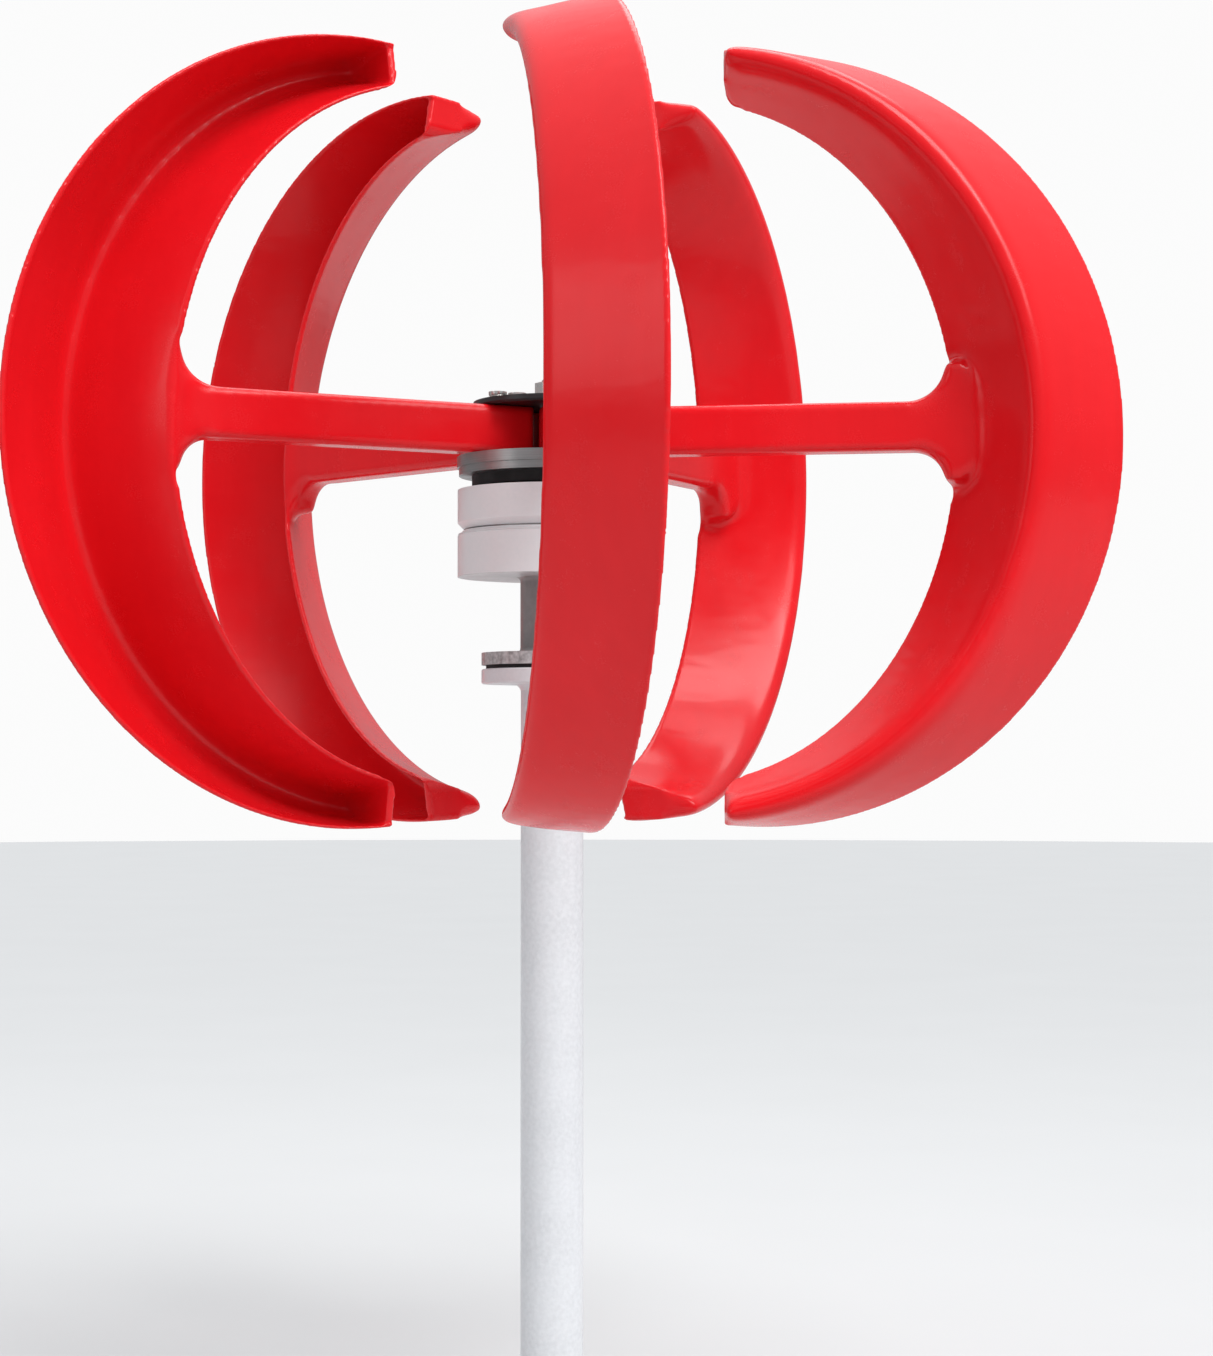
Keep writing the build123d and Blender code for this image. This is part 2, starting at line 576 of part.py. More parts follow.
def make_hub():
    plate = disc(HUB_PLATE_D / 2 - HUB_STEP_W, HUB_PLATE_Z, HUB_PLATE_T)
    plate = plate + disc(HUB_PLATE_D / 2, HUB_PLATE_Z + HUB_STEP_H, HUB_PLATE_T - HUB_STEP_H)
    plate = plate - disc(BEARING_BORE_R + FIT, HUB_PLATE_Z, HUB_PLATE_T)
    plate = plate - key_slot(BEARING_BORE_R, HUB_PLATE_Z, HUB_PLATE_T)
    top = disc(TOP_PLATE_D / 2, TOP_PLATE_Z, TOP_PLATE_T)
    top = chamfer(circles_of(top, TOP_PLATE_D / 2)[-1:], TOP_PLATE_CHAMFER)
    top = top - disc(THREAD_D / 2 + HOLE_CLEARANCE, TOP_PLATE_Z, TOP_PLATE_T)
    hole_r = ARM_BOLT_D / 2 + HOLE_CLEARANCE / 2
    pocket_h = ARM_NUT_SUNK + ARM_NUT_H
    pocket = hexagon(ARM_NUT_AF + HOLE_CLEARANCE, HUB_PLATE_Z, pocket_h)
    for place in arm_bolt_places():
        plate = plate - place * disc(hole_r, HUB_PLATE_Z, HUB_PLATE_T)
        plate = plate - place * pocket
        top = top - place * disc(hole_r, TOP_PLATE_Z, TOP_PLATE_T)
    parts["hub_lower_plate"] = plate
    parts["hub_top_plate"] = top

    slinger = ring(SLINGER_D / 2, SPACER_D / 2 + FIT, SLINGER_Z, SLINGER_H)
    hollow_r = SLINGER_D / 2 - SLINGER_WALL
    hub_r = SPACER_D / 2 + SLINGER_HUB_W
    hollow = ring(hollow_r, hub_r, SLINGER_Z, SLINGER_H - SLINGER_WALL)
    parts["rain_slinger"] = slinger - hollow


def make_arm_bolts():
    washer_z = TOP_PLATE_Z + TOP_PLATE_T
    head_z = washer_z + ARM_WASHER_T
    nut_bottom = HUB_PLATE_Z + ARM_NUT_SUNK
    shank_z = nut_bottom + ARM_BOLT_SHORT
    head = disc(ARM_BOLT_HEAD_D / 2, head_z, ARM_BOLT_HEAD_H)
    head = fillet(circles_of(head, ARM_BOLT_HEAD_D / 2)[-1:], ARM_BOLT_HEAD_R)
    bolt = disc(ARM_BOLT_D / 2, shank_z, head_z - shank_z) + head
    socket_z = head_z + ARM_BOLT_HEAD_H - ARM_BOLT_SOCKET_H
    bolt = bolt - hexagon(ARM_BOLT_SOCKET_AF, socket_z, ARM_BOLT_SOCKET_H)
    washer_bore = ARM_BOLT_D / 2 + HOLE_CLEARANCE / 2
    washer = ring(ARM_WASHER_D / 2, washer_bore, washer_z, ARM_WASHER_T)
    nut = hexagon(ARM_NUT_AF, nut_bottom, ARM_NUT_H)
    nut = nut - disc(ARM_BOLT_D / 2 + FIT, nut_bottom, ARM_NUT_H)
    for name, piece in (("arm_bolts", bolt), ("arm_washers", washer), ("arm_nuts", nut)):
        solids = []
        for place in arm_bolt_places():
            solids.extend((place * piece).solids())
        parts[name] = group(solids)


# ---------------------------------------------------------------- blades


def long_curve(angle, reach, top_radius, height, chord, sweep):
    """One of a blade's three long curves: half an ellipse whose ends sweep back."""
    across = math.cos(math.radians(angle))
    along = math.sin(math.radians(angle))
    radial = top_radius + (reach - top_radius) * across
    return Vector(radial, chord - sweep * (1 - across), height * along)


def section_corners(angle):
    """The outer rim, the ridge and the inner rim at one angle of the crescent."""
    rim = long_curve(angle, REACH, RIM_TOP_RADIUS, HALF_HEIGHT, RIM_CHORD, RIM_SWEEP)
    ridge = long_curve(
        angle,
        REACH - RIDGE_REACH_IN,
        RIM_TOP_RADIUS - RIDGE_TOP_IN,
        HALF_HEIGHT - RIDGE_DROP,
        RIDGE_CHORD,
        RIDGE_SWEEP,
    )
    inner = long_curve(
        angle,
        REACH - INNER_REACH_IN,
        RIM_TOP_RADIUS - INNER_TOP_IN,
        HALF_HEIGHT - INNER_DROP,
        INNER_CHORD,
        INNER_SWEEP,
    )
    return rim, ridge, inner


def section_control(angle):
    """The outline's control points: two straight legs and a blunt nose at the ridge."""
    rim, ridge, inner = section_corners(angle)
    inward = ((rim + inner) * 0.5 - ridge).normalized()
    across = rim - inner
    across = (across - inward * across.dot(inward)).normalized()
    share = 1 - math.cos(math.radians(angle))
    half = NOSE_HALF_MID + (NOSE_HALF_TIP - NOSE_HALF_MID) * share
    upper = ridge + across * half
    lower = ridge - across * half
    lead_up = upper + (rim - upper).normalized() * NOSE_LEAD
    lead_down = lower + (inner - lower).normalized() * NOSE_LEAD
    return [rim, lead_up, upper, lower, lead_down, inner], across, inward


def section_outline(angle, depth):
    """Points along the section, moved in from its outer face by a depth."""
    control, across, inward = section_control(angle)
    joints = [control[0]]
    for index in range(1, 4):
        joints.append((control[index] + control[index + 1]) * 0.5)
    joints.append(control[5])
    points = []
    for index in range(4):
        start, middle, end = joints[index], control[index + 1], joints[index + 1]
        steps = 3 if index in (0, 3) else 2
        for step in range(steps + (1 if index == 3 else 0)):
            t = step / steps
            point = start * (1 - t) ** 2 + middle * (2 * t * (1 - t)) + end * t**2
            slope = (middle - start) * (1 - t) + (end - middle) * t
            along_across = slope.dot(across)
            along_inward = slope.dot(inward)
            normal = (inward * -along_across + across * along_inward).normalized()
            points.append(point + normal * depth)
    return points


def wall_wire(angle):
    outer = section_outline(angle, 0.0)
    inner = section_outline(angle, BLADE_WALL)
    bulge = BLADE_WALL * RIM_ROUNDING
    first = (outer[0] + inner[0]) * 0.5 + (outer[0] - outer[1]).normalized() * bulge
    last = (outer[-1] + inner[-1]) * 0.5 + (outer[-1] - outer[-2]).normalized() * bulge
    return Wire(
        [
            Spline(outer),
            ThreePointArc(outer[-1], last, inner[-1]),
            Spline(inner[::-1]),
            ThreePointArc(inner[0], first, outer[0]),
        ]
    )


def filled_wire(angle, depth):
    points = section_outline(angle, depth)
    return Wire([Spline(points), Line(points[-1], points[0])])


def blade_angles():
    step = 2 * TIP_END_ANGLE / (BLADE_SECTIONS - 1)
    return [-TIP_END_ANGLE + step * index for index in range(BLADE_SECTIONS)]


def beyond_tip(inset):
    """Everything nearer the axis than the tip's end face, moved out by an inset."""
    size = 4 * HALF_HEIGHT
    block = Pos(-size / 2, 0, 0) * Box(size, size, size)
    return Pos(TIP_RADIUS + inset, 0, 0) * Rot(0, 0, TIP_SLANT) * block


def make_arm():
    """The arm with the webs that flare into the blade's inner rim, up and down."""
    top = ARM_BOTTOM + ARM_H
    inner_end = REACH - INNER_REACH_IN
    flare_end = inner_end - ARM_FLARE_INSET
    low_start = (flare_end - ARM_BOTTOM_FILLET, ARM_BOTTOM)
    low_end = (flare_end, ARM_BOTTOM - ARM_BOTTOM_FILLET)
    high_start = (flare_end - ARM_TOP_FILLET, top)
    high_end = (flare_end, top + ARM_TOP_FILLET)
    low_back = (inner_end + ARM_FLARE_RUN_IN, ARM_BOTTOM - ARM_BOTTOM_FILLET)
    high_back = (inner_end + ARM_FLARE_RUN_IN, top + ARM_TOP_FILLET)
    back_low = (inner_end + ARM_RUN_IN, ARM_BOTTOM)
    back_high = (inner_end + ARM_RUN_IN, top)
    with BuildSketch(Plane.XZ) as profile:
        with BuildLine():
            Polyline(high_start, (ARM_INNER_END, top), (ARM_INNER_END, ARM_BOTTOM), low_start)
            RadiusArc(low_start, low_end, ARM_BOTTOM_FILLET)
            Polyline(low_end, low_back, back_low, back_high, high_back, high_end)
            RadiusArc(high_end, high_start, ARM_TOP_FILLET)
        make_face()
    return profile.sketch


def arm_solid():
    """The arm turned to its direction, with rounded edges and its two bolt holes."""
    arm = extrude(make_arm(), ARM_W / 2, both=True)
    inner_end = REACH - INNER_REACH_IN
    long_edges = [
        edge
        for edge in arm.edges()
        if abs(abs(edge.center().Y) - ARM_W / 2) < 0.01 and edge.center().X < inner_end - 1.0
    ]
    arm = fillet(long_edges, ARM_EDGE_R)
    hole = disc(ARM_BOLT_D / 2 + HOLE_CLEARANCE / 2, ARM_BOTTOM, ARM_H)
    for radius in ARM_BOLT_RADII:
        arm = arm - Pos(radius, 0, 0) * hole
    return Rot(0, 0, ARM_TURN) * arm


def make_blade():
    """The trough-shaped crescent, its closed tips and its arm, as one moulding."""
    angles = blade_angles()
    wall = Solid.make_loft([wall_wire(angle) for angle in angles])
    core = Solid.make_loft([filled_wire(angle, CAP_INSET) for angle in angles])
    trough = Solid.make_loft([filled_wire(angle, BLADE_WALL - CAP_INSET) for angle in angles])
    crescent = wall + (core & beyond_tip(TIP_CAP_T)) - beyond_tip(0.0)
    return crescent + (arm_solid() - trough)


def make_blades():
    blade = make_blade()
    for number in range(BLADES):
        placed = Rot(0, 0, blade_angle(number)) * Pos(0, 0, ROTOR_MID_Z) * blade
        parts["blade_%d" % (number + 1)] = placed


make_mast()
make_flange_screws()
make_lower_housing()
make_upper_housing()
make_housing_fittings()
make_stator()
make_magnet_rotor()
make_bearing("lower_bearing", LOWER_BEARING_Z)
make_bearing("upper_bearing", UPPER_BEARING_Z)
make_bearing_fittings()
make_shaft()
make_hub()
make_arm_bolts()
make_blades()

os.makedirs("parts", exist_ok=True)
for name, shape in parts.items():
    export_step(shape, "parts/" + name + ".step")
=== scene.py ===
import math

import bmesh
import bpy
import numpy as np
from mathutils import Matrix, Vector


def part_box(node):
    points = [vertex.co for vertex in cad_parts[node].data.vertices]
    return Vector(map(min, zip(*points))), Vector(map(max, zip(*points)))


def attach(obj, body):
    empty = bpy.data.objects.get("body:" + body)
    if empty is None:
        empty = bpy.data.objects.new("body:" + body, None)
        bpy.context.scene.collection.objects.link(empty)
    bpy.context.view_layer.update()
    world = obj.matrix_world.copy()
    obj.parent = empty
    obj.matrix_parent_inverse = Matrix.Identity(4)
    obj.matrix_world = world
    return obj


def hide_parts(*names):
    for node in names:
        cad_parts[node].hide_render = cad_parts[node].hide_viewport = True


# A vertical axis wind turbine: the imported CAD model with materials, and smooth moulded blades.

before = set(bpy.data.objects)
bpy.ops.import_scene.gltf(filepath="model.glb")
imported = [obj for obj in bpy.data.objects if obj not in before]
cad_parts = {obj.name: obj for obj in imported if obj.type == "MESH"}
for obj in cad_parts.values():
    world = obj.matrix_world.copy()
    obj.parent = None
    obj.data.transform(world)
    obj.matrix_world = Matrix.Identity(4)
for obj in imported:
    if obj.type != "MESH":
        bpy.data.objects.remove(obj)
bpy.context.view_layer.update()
scene = bpy.context.scene

# ---------------------------------------------------------------- view and light

CAMERA_PLACE = (0.0, -2.0566, 0.5507)
CAMERA_TURN = (math.radians(91.507), 0.0, math.radians(-0.905))
LIGHT_TARGET = (0.0, 0.0, 0.78)

lens = bpy.data.cameras.new("camera")
lens.lens = 70.73
lens.sensor_width = 36.0
lens.shift_x = 0.0091
camera = bpy.data.objects.new("camera", lens)
camera.location = CAMERA_PLACE
camera.rotation_euler = CAMERA_TURN
scene.collection.objects.link(camera)
scene.camera = camera
scene.view_settings.view_transform = "Standard"


def soft_light(name, place, size, power):
    """A square studio panel that faces the rotor."""
    panel = bpy.data.lights.new(name, "AREA")
    panel.shape = "SQUARE"
    panel.size = size
    panel.energy = power
    holder = bpy.data.objects.new(name, panel)
    holder.location = place
    facing = Vector(LIGHT_TARGET) - Vector(place)
    holder.rotation_euler = facing.to_track_quat("-Z", "Y").to_euler()
    scene.collection.objects.link(holder)


soft_light("key_panel", (1.9, -1.7, 2.3), 1.0, 16.0)
soft_light("top_panel", (0.3, 0.6, 2.7), 1.3, 16.0)
soft_light("fill_panel", (-2.3, -1.4, 1.5), 1.0, 5.0)

sun = bpy.data.lights.new("soft_sun", "SUN")
sun.energy = 2.2
sun.specular_factor = 0.35
sun.angle = math.radians(35.0)
sun_holder = bpy.data.objects.new("soft_sun", sun)
sun_holder.rotation_euler = Vector((-0.45, 0.62, -1.0)).to_track_quat("-Z", "Y").to_euler()
scene.collection.objects.link(sun_holder)

# The background looks white, and lights the object like a bright sky over a dim ground.
world = bpy.data.worlds.new("studio")
world.use_nodes = True
sky = world.node_tree
split = sky.nodes.new("ShaderNodeSeparateXYZ")
sky.links.new(sky.nodes.new("ShaderNodeTexCoord").outputs["Generated"], split.inputs[0])
height = sky.nodes.new("ShaderNodeMapRange")
height.inputs["From Min"].default_value = -0.1
height.inputs["From Max"].default_value = 0.9
sky.links.new(split.outputs["Z"], height.inputs["Value"])
dome = sky.nodes.new("ShaderNodeMix")
dome.data_type = "RGBA"
dome.inputs[6].default_value = (0.14, 0.14, 0.14, 1.0)
dome.inputs[7].default_value = (1.02, 1.06, 1.10, 1.0)
sky.links.new(height.outputs["Result"], dome.inputs["Factor"])
seen = sky.nodes.new("ShaderNodeMix")
seen.data_type = "RGBA"
seen.inputs[7].default_value = (0.97, 0.97, 0.97, 1.0)
sky.links.new(sky.nodes.new("ShaderNodeLightPath").outputs["Is Camera Ray"], seen.inputs["Factor"])
sky.links.new(dome.outputs[2], seen.inputs[6])
sky.links.new(seen.outputs[2], sky.nodes["Background"].inputs["Color"])
scene.world = world

# ---------------------------------------------------------------- materials


class Finish:
    """A material's node tree, with short calls for the nodes used here."""

    def __init__(self, name):
        self.material = bpy.data.materials.new(name)
        self.material.use_nodes = True
        self.tree = self.material.node_tree
        self.shader = self.tree.nodes["Principled BSDF"]
        self.coords = self.tree.nodes.new("ShaderNodeTexCoord").outputs["Object"]

    def join(self, value, socket):
        if isinstance(value, bpy.types.NodeSocket):
            self.tree.links.new(value, socket)
        else:
            socket.default_value = value

    def noise(self, scale, detail=3.0, roughness=0.5, stretch=(1.0, 1.0, 1.0)):
        """Noise from 0 to 1, with features about 1/scale metres across."""
        mapping = self.tree.nodes.new("ShaderNodeMapping")
        mapping.inputs["Scale"].default_value = stretch
        self.tree.links.new(self.coords, mapping.inputs["Vector"])
        node = self.tree.nodes.new("ShaderNodeTexNoise")
        self.tree.links.new(mapping.outputs["Vector"], node.inputs["Vector"])
        node.inputs["Scale"].default_value = scale
        node.inputs["Detail"].default_value = detail
        node.inputs["Roughness"].default_value = roughness
        return node.outputs["Fac"]

    def cells(self, scale):
        """Distance to the nearest of many scattered points."""
        node = self.tree.nodes.new("ShaderNodeTexVoronoi")
        node.inputs["Scale"].default_value = scale
        self.tree.links.new(self.coords, node.inputs["Vector"])
        return node.outputs["Distance"]

    def sum(self, one, two, operation="ADD"):
        node = self.tree.nodes.new("ShaderNodeMath")
        node.operation = operation
        self.join(one, node.inputs[0])
        self.join(two, node.inputs[1])
        return node.outputs[0]

    def turned(self, pitch):
        """Lathe marks: noise that changes only with the radius and the height."""
        split = self.tree.nodes.new("ShaderNodeSeparateXYZ")
        self.tree.links.new(self.coords, split.inputs[0])
        across = self.sum(split.outputs["X"], split.outputs["X"], "MULTIPLY")
        along = self.sum(split.outputs["Y"], split.outputs["Y"], "MULTIPLY")
        radius = self.sum(self.sum(across, along), 0.5, "POWER")
        node = self.tree.nodes.new("ShaderNodeTexNoise")
        node.noise_dimensions = "1D"
        self.join(self.sum(radius, split.outputs["Z"]), node.inputs["W"])
        node.inputs["Scale"].default_value = 1.0 / pitch
        node.inputs["Detail"].default_value = 2.0
        return node.outputs["Fac"]

    def remap(self, value, low, high, start=0.3, end=0.7):
        node = self.tree.nodes.new("ShaderNodeMapRange")
        self.join(value, node.inputs["Value"])
        node.inputs["From Min"].default_value = start
        node.inputs["From Max"].default_value = end
        node.inputs["To Min"].default_value = low
        node.inputs["To Max"].default_value = high
        return node.outputs["Result"]

    def blend(self, share, one, two):
        node = self.tree.nodes.new("ShaderNodeMix")
        node.data_type = "RGBA"
        self.join(share, node.inputs["Factor"])
        self.join(one, node.inputs[6])
        self.join(two, node.inputs[7])
        return node.outputs[2]

    def edges(self, low, high):
        """0 on flat faces and 1 along sharp outer edges."""
        node = self.tree.nodes.new("ShaderNodeNewGeometry")
        return self.remap(node.outputs["Pointiness"], 0.0, 1.0, low, high)

    def bump(self, height, strength, distance, under=None):
        node = self.tree.nodes.new("ShaderNodeBump")
        node.inputs["Strength"].default_value = strength
        node.inputs["Distance"].default_value = distance
        self.join(height, node.inputs["Height"])
        if under is not None:
            self.tree.links.new(under, node.inputs["Normal"])
        return node.outputs["Normal"]

    def finish(
        self, colour, roughness, normal, metallic=0.0, coat=0.0, coat_roughness=0.1, specular=0.5
    ):
        self.join(colour, self.shader.inputs["Base Color"])
        self.join(roughness, self.shader.inputs["Roughness"])
        self.tree.links.new(normal, self.shader.inputs["Normal"])
        self.shader.inputs["Metallic"].default_value = metallic
        self.shader.inputs["Coat Weight"].default_value = coat
        self.shader.inputs["Coat Roughness"].default_value = coat_roughness
        self.shader.inputs["Specular IOR Level"].default_value = specular
        return self.material


# Height below which the housing's colour turns to the neck's painted shade, blended over NECK_EDGE.
LOWER_HOUSING_H = 0.0355
NECK_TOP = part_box("generator_lower_housing")[1].z - LOWER_HOUSING_H
NECK_EDGE = 0.0004


def rgb(red, green, blue):
    return (red, green, blue, 1.0)


def blade_red():
    """Glossy moulded nylon: orange peel, slow waviness, faint flow marks, and lighter rims that are
    partly wear and partly painted highlight.
    """
    look = Finish("blade_red")
    tone = look.remap(look.noise(7.0), 0.0, 1.0)
    body = look.blend(tone, rgb(0.70, 0.006, 0.010), rgb(0.77, 0.009, 0.015))
    flow = look.remap(look.noise(60.0, 4.0, 0.6, (1.0, 1.0, 0.12)), 0.0, 0.35)
    body = look.blend(flow, body, rgb(0.65, 0.005, 0.010))
    # Lighter red on the convex rims: wear in scattered patches, plus a painted highlight where the
    # rounded edges catch the light.
    patches = look.remap(look.noise(180.0, 4.0), 0.0, 0.4)
    wear_and_highlight = look.sum(look.edges(0.53, 0.60), patches, "MULTIPLY")
    body = look.blend(wear_and_highlight, body, rgb(0.80, 0.10, 0.10))
    rough = look.sum(
        look.remap(look.noise(35.0, 5.0, 0.6), 0.17, 0.27),
        look.remap(look.noise(900.0), 0.0, 0.04),
    )
    peel = look.bump(look.noise(420.0, 1.5), 0.10, 0.0002)
    wave = look.bump(look.noise(38.0, 1.0), 0.16, 0.0006, peel)
    return look.finish(body, rough, wave, coat=0.06, coat_roughness=0.06, specular=0.26)


def powder_coat(name, dark, light, roughness, grain=1300.0):
    """Powder-coated metal: fine pebbled grain, slow tone changes and a few scuffs."""
    look = Finish(name)
    body = look.blend(look.remap(look.noise(16.0, 4.0), 0.0, 1.0), rgb(*dark), rgb(*light))
    scuff = look.remap(look.noise(90.0, 6.0, 0.7, (1.0, 1.0, 0.3)), 0.0, 0.5, 0.60, 0.75)
    body = look.blend(scuff, body, rgb(*[0.8 * value for value in dark]))
    rim = look.sum(look.edges(0.52, 0.62), look.remap(look.noise(300.0), 0.0, 0.5), "MULTIPLY")
    body = look.blend(rim, body, rgb(*[min(1.0, 1.15 * value) for value in light]))
    rough = look.remap(look.noise(50.0, 4.0), roughness - 0.06, roughness + 0.08)
    grains = look.bump(look.noise(grain, 2.0), 0.22, 0.00012)
    return look.finish(body, rough, look.bump(look.noise(45.0), 0.08, 0.0005, grains), coat=0.1)


def housing_paint():
    """Powder coat on the housing, and a dark grey painted shade on the neck below it, in place of
    the shadow under the housing.
    """
    look = Finish("housing_paint")
    tone = look.remap(look.noise(16.0, 4.0), 0.0, 1.0)
    coat = look.blend(tone, rgb(0.70, 0.73, 0.74), rgb(0.77, 0.80, 0.81))
    # Painted shade: below NECK_TOP the neck is coloured dark grey to stand for the shadow under the
    # housing.
    tone = look.remap(look.noise(160.0, 5.0), 0.0, 1.0)
    neck_shade = look.blend(tone, rgb(0.22, 0.22, 0.22), rgb(0.27, 0.27, 0.27))
    split = look.tree.nodes.new("ShaderNodeSeparateXYZ")
    look.tree.links.new(look.coords, split.inputs[0])
    above_neck = look.remap(split.outputs["Z"], 0.0, 1.0, NECK_TOP - NECK_EDGE, NECK_TOP + NECK_EDGE)
    body = look.blend(above_neck, neck_shade, coat)
    rim = look.sum(look.edges(0.52, 0.62), look.remap(look.noise(300.0), 0.0, 0.5), "MULTIPLY")
    body = look.blend(rim, body, rgb(0.80, 0.80, 0.81))
    rough = look.remap(look.noise(50.0, 4.0), 0.32, 0.46)
    grains = look.bump(look.noise(1300.0, 2.0), 0.22, 0.00012)
    return look.finish(body, rough, look.bump(look.noise(45.0), 0.08, 0.0005, grains), coat=0.1)


def turned_metal(name, dark, light, roughness, pitch=0.0006, strength=0.12, metallic=1.0):
    """Metal from the lathe: rings about the axis, small tone changes, fine scratches."""
    look = Finish(name)
    marks = look.turned(pitch)
    body = look.blend(look.remap(marks, 0.0, 1.0), rgb(*dark), rgb(*light))
    stain = look.remap(look.noise(40.0, 5.0, 0.6), 0.0, 0.4)
    body = look.blend(stain, body, rgb(*[0.85 * value for value in dark]))
    rough = look.remap(look.noise(55.0, 4.0), roughness - 0.05, roughness + 0.08)
    rings = look.bump(marks, strength, 0.00008)
    fine = look.bump(look.noise(1500.0, 3.0, 0.6, (1.0, 1.0, 0.2)), 0.05, 0.00006, rings)
    return look.finish(body, rough, fine, metallic=metallic)


def plated_metal(name, dark, light, roughness, crystal=500.0):
    """Plated or cast metal: mottled crystals, small pits and brighter edges."""
    look = Finish(name)
    body = look.blend(look.remap(look.cells(crystal), 0.0, 1.0, 0.2, 0.7), rgb(*dark), rgb(*light))
    rim = look.edges(0.53, 0.62)
    body = look.blend(rim, body, rgb(*[min(1.0, 1.2 * value) for value in light]))
    rough = look.remap(look.noise(240.0, 4.0), roughness - 0.06, roughness + 0.1)
    pits = look.bump(look.noise(1700.0, 3.0), 0.10, 0.00008)
    return look.finish(body, rough, pits, metallic=1.0)


def dull_plastic(name, dark, light, roughness, grain=1100.0):
    """Rubber or nylon: fine grain and a dusty bloom."""
    look = Finish(name)
    body = look.blend(look.remap(look.noise(45.0, 5.0), 0.0, 1.0), rgb(*dark), rgb(*light))
    rough = look.remap(look.noise(80.0, 4.0), roughness - 0.07, roughness + 0.07)
    return look.finish(body, rough, look.bump(look.noise(grain, 3.0), 0.25, 0.00012), specular=0.35)


def laminations():
    """The edges of many thin steel sheets, stacked upward."""
    look = Finish("lamination_steel")
    sheets = look.noise(1.0, 1.0, 0.5, (20.0, 20.0, 2000.0))
    body = look.blend(look.remap(sheets, 0.0, 1.0), rgb(0.10, 0.10, 0.11), rgb(0.32, 0.31, 0.30))
    rough = look.remap(look.noise(200.0), 0.35, 0.5)
    return look.finish(body, rough, look.bump(sheets, 0.4, 0.0001), metallic=0.9)


def copper_turns():
    """Enamelled copper wire, wound in turns about 0.8 mm across."""
    look = Finish("copper_wire")
    turns = look.noise(1.0, 1.0, 0.4, (1250.0, 1250.0, 60.0))
    body = look.blend(look.remap(turns, 0.0, 1.0), rgb(0.30, 0.09, 0.03), rgb(0.80, 0.33, 0.14))
    rough = look.remap(look.noise(300.0), 0.22, 0.38)
    return look.finish(body, rough, look.bump(turns, 0.6, 0.0004), metallic=0.9, coat=0.4)


MADE = {
    "bearing_steel": turned_metal(
        "bearing_steel", (0.55, 0.56, 0.58), (0.68, 0.69, 0.70), 0.16, 0.0004, 0.05
    ),
    # Near-black for the top plate over the arms' roots: painted shade, a dark sheet in place of the
    # shadow at the hub.
    "black_plate": turned_metal(
        "black_plate", (0.010, 0.010, 0.012), (0.022, 0.022, 0.024), 0.36, 0.0007, 0.10, 0.0
    ),
    "black_rubber": dull_plastic(
        "black_rubber", (0.010, 0.010, 0.010), (0.028, 0.028, 0.030), 0.72
    ),
    "blade_red": blade_red(),
    "cage_nylon": dull_plastic("cage_nylon", (0.55, 0.50, 0.38), (0.66, 0.62, 0.50), 0.45),
    "copper_wire": copper_turns(),
    "housing_paint": housing_paint(),
    "hub_aluminium": turned_metal("hub_aluminium", (0.30, 0.30, 0.30), (0.40, 0.39, 0.39), 0.36),
    "lamination_steel": laminations(),
    "machined_steel": turned_metal(
        "machined_steel", (0.42, 0.42, 0.43), (0.56, 0.56, 0.57), 0.26, 0.0005
    ),
    "magnet_nickel": plated_metal(
        "magnet_nickel", (0.52, 0.50, 0.46), (0.66, 0.64, 0.60), 0.22, 300.0
    ),
    "mast_paint": powder_coat(
        "mast_paint", (0.60, 0.61, 0.63), (0.67, 0.68, 0.70), 0.34, 1000.0
    ),
    "zinc_steel": plated_metal("zinc_steel", (0.46, 0.46, 0.45), (0.62, 0.62, 0.60), 0.30),
}

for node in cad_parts.values():
    for index in range(len(node.material_slots)):
        name = node.material_slots[index].material.name.split(".")[0]
        node.material_slots[index].link = "DATA"
        node.material_slots[index].material = MADE[name]

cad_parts["housing_seam_seal"].material_slots[0].material = MADE["housing_paint"]

# ---------------------------------------------------------------- blades

VOXEL = 0.0015
RIDGE_CENTRE = (0.121, -0.008)
RIDGE_OUT = 0.2545
RIDGE_UP = 0.284
RIDGE_SWEEP = 0.0345
RIDGE_BAND = 0.034
RIDGE_ROUNDS = 110
TIP_PLANE = 0.1375
TIP_SLANT = math.tan(math.radians(12.0))
TIP_CORNER = 0.013
TIP_ZONE = 0.2
INNER_TIP_HEIGHT = 0.2583
JOINT_CENTRE = (0.322, 0.036, 0.008)
JOINT_REACH = (0.052, 0.050, 0.072)
JOINT_FILL_ROUNDS = 110
JOINT_RELAX_ROUNDS = 60
FILL_ROUNDS = 20
RELAX_STEP = 0.6
HOLLOW_STEP = 2e-5
BLADES = 5
ROTOR_MIDDLE = 0.7865


def edge_pairs(mesh):
    pairs = np.empty(len(mesh.edges) * 2, np.int32)
    mesh.edges.foreach_get("vertices", pairs)
    return pairs.reshape(-1, 2)


def relax(points, pairs, weight, rounds):
    """Moves each point towards the mean of its neighbours, by its own weight."""
    count = len(points)
    degree = np.bincount(pairs.ravel(), minlength=count)
    for _ in range(rounds):
        mean = np.empty_like(points)
        for axis in range(3):
            values = points[:, axis]
            total = np.bincount(pairs[:, 0], values[pairs[:, 1]], count)
            total += np.bincount(pairs[:, 1], values[pairs[:, 0]], count)
            mean[:, axis] = total / degree
        points = points + (mean - points) * weight[:, None]
    return points


def smooth(points, pairs, rounds):
    """Takes out small ripples and keeps the size: a step in, then a step back out."""
    for _ in range(rounds):
        points = relax(points, pairs, np.full(len(points), 0.50), 1)
        points = relax(points, pairs, np.full(len(points), -0.53), 1)
    return points


